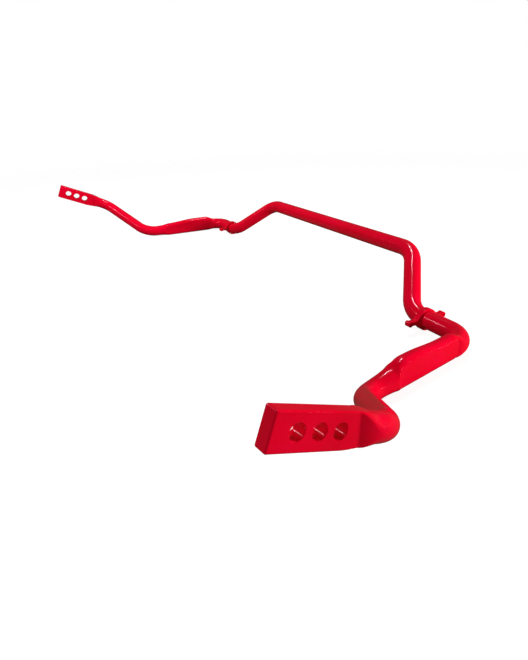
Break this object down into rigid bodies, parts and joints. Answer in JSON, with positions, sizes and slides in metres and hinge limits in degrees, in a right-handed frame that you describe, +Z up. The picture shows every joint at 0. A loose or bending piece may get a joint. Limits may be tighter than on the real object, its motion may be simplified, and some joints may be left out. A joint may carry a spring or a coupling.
{
  "type": "sway bar",
  "caption": "Bent round sway bar with a raised centre span, die-flattened lever arms, drilled link pads and a crimped band collar beside each bush journal.",
  "frame": {"origin": "bottom centre of the bar's bounding box, on the floor it lies on, half way between the two arms", "axes": "+X across the vehicle towards the right arm, +Y from the link pads towards the raised centre span, +Z up with the collars and the flattened arms resting on the floor"},
  "size_m": [1.0878, 0.434, 0.1296],
  "materials": {
    "bar_coat": "gloss red powder coat over spring steel",
    "collar_coat": "gloss red powder coat over crimped steel strip"
  },
  "bodies": {
    "centre": {"centre_section": "bar_coat", "right_collar": "collar_coat", "left_collar": "collar_coat"},
    "right_arm": {"right_arm": "bar_coat"},
    "left_arm": {"left_arm": "bar_coat"}
  },
  "joints": [
    {"name": "right_arm_twist", "type": "hinge", "parent": "centre", "child": "right_arm", "pos_m": [0.322, 0.1385, 0.0154], "axis": [1, 0, 0], "range_deg": [-10, 10], "stiffness_Nm_per_rad": 6000},
    {"name": "left_arm_twist", "type": "hinge", "parent": "centre", "child": "left_arm", "pos_m": [-0.322, 0.1385, 0.0154], "axis": [1, 0, 0], "range_deg": [-10, 10], "stiffness_Nm_per_rad": 6000}
  ],
  "couplings": [
    {"joint": "left_arm_twist", "follows": "right_arm_twist", "ratio": -1}
  ]
}
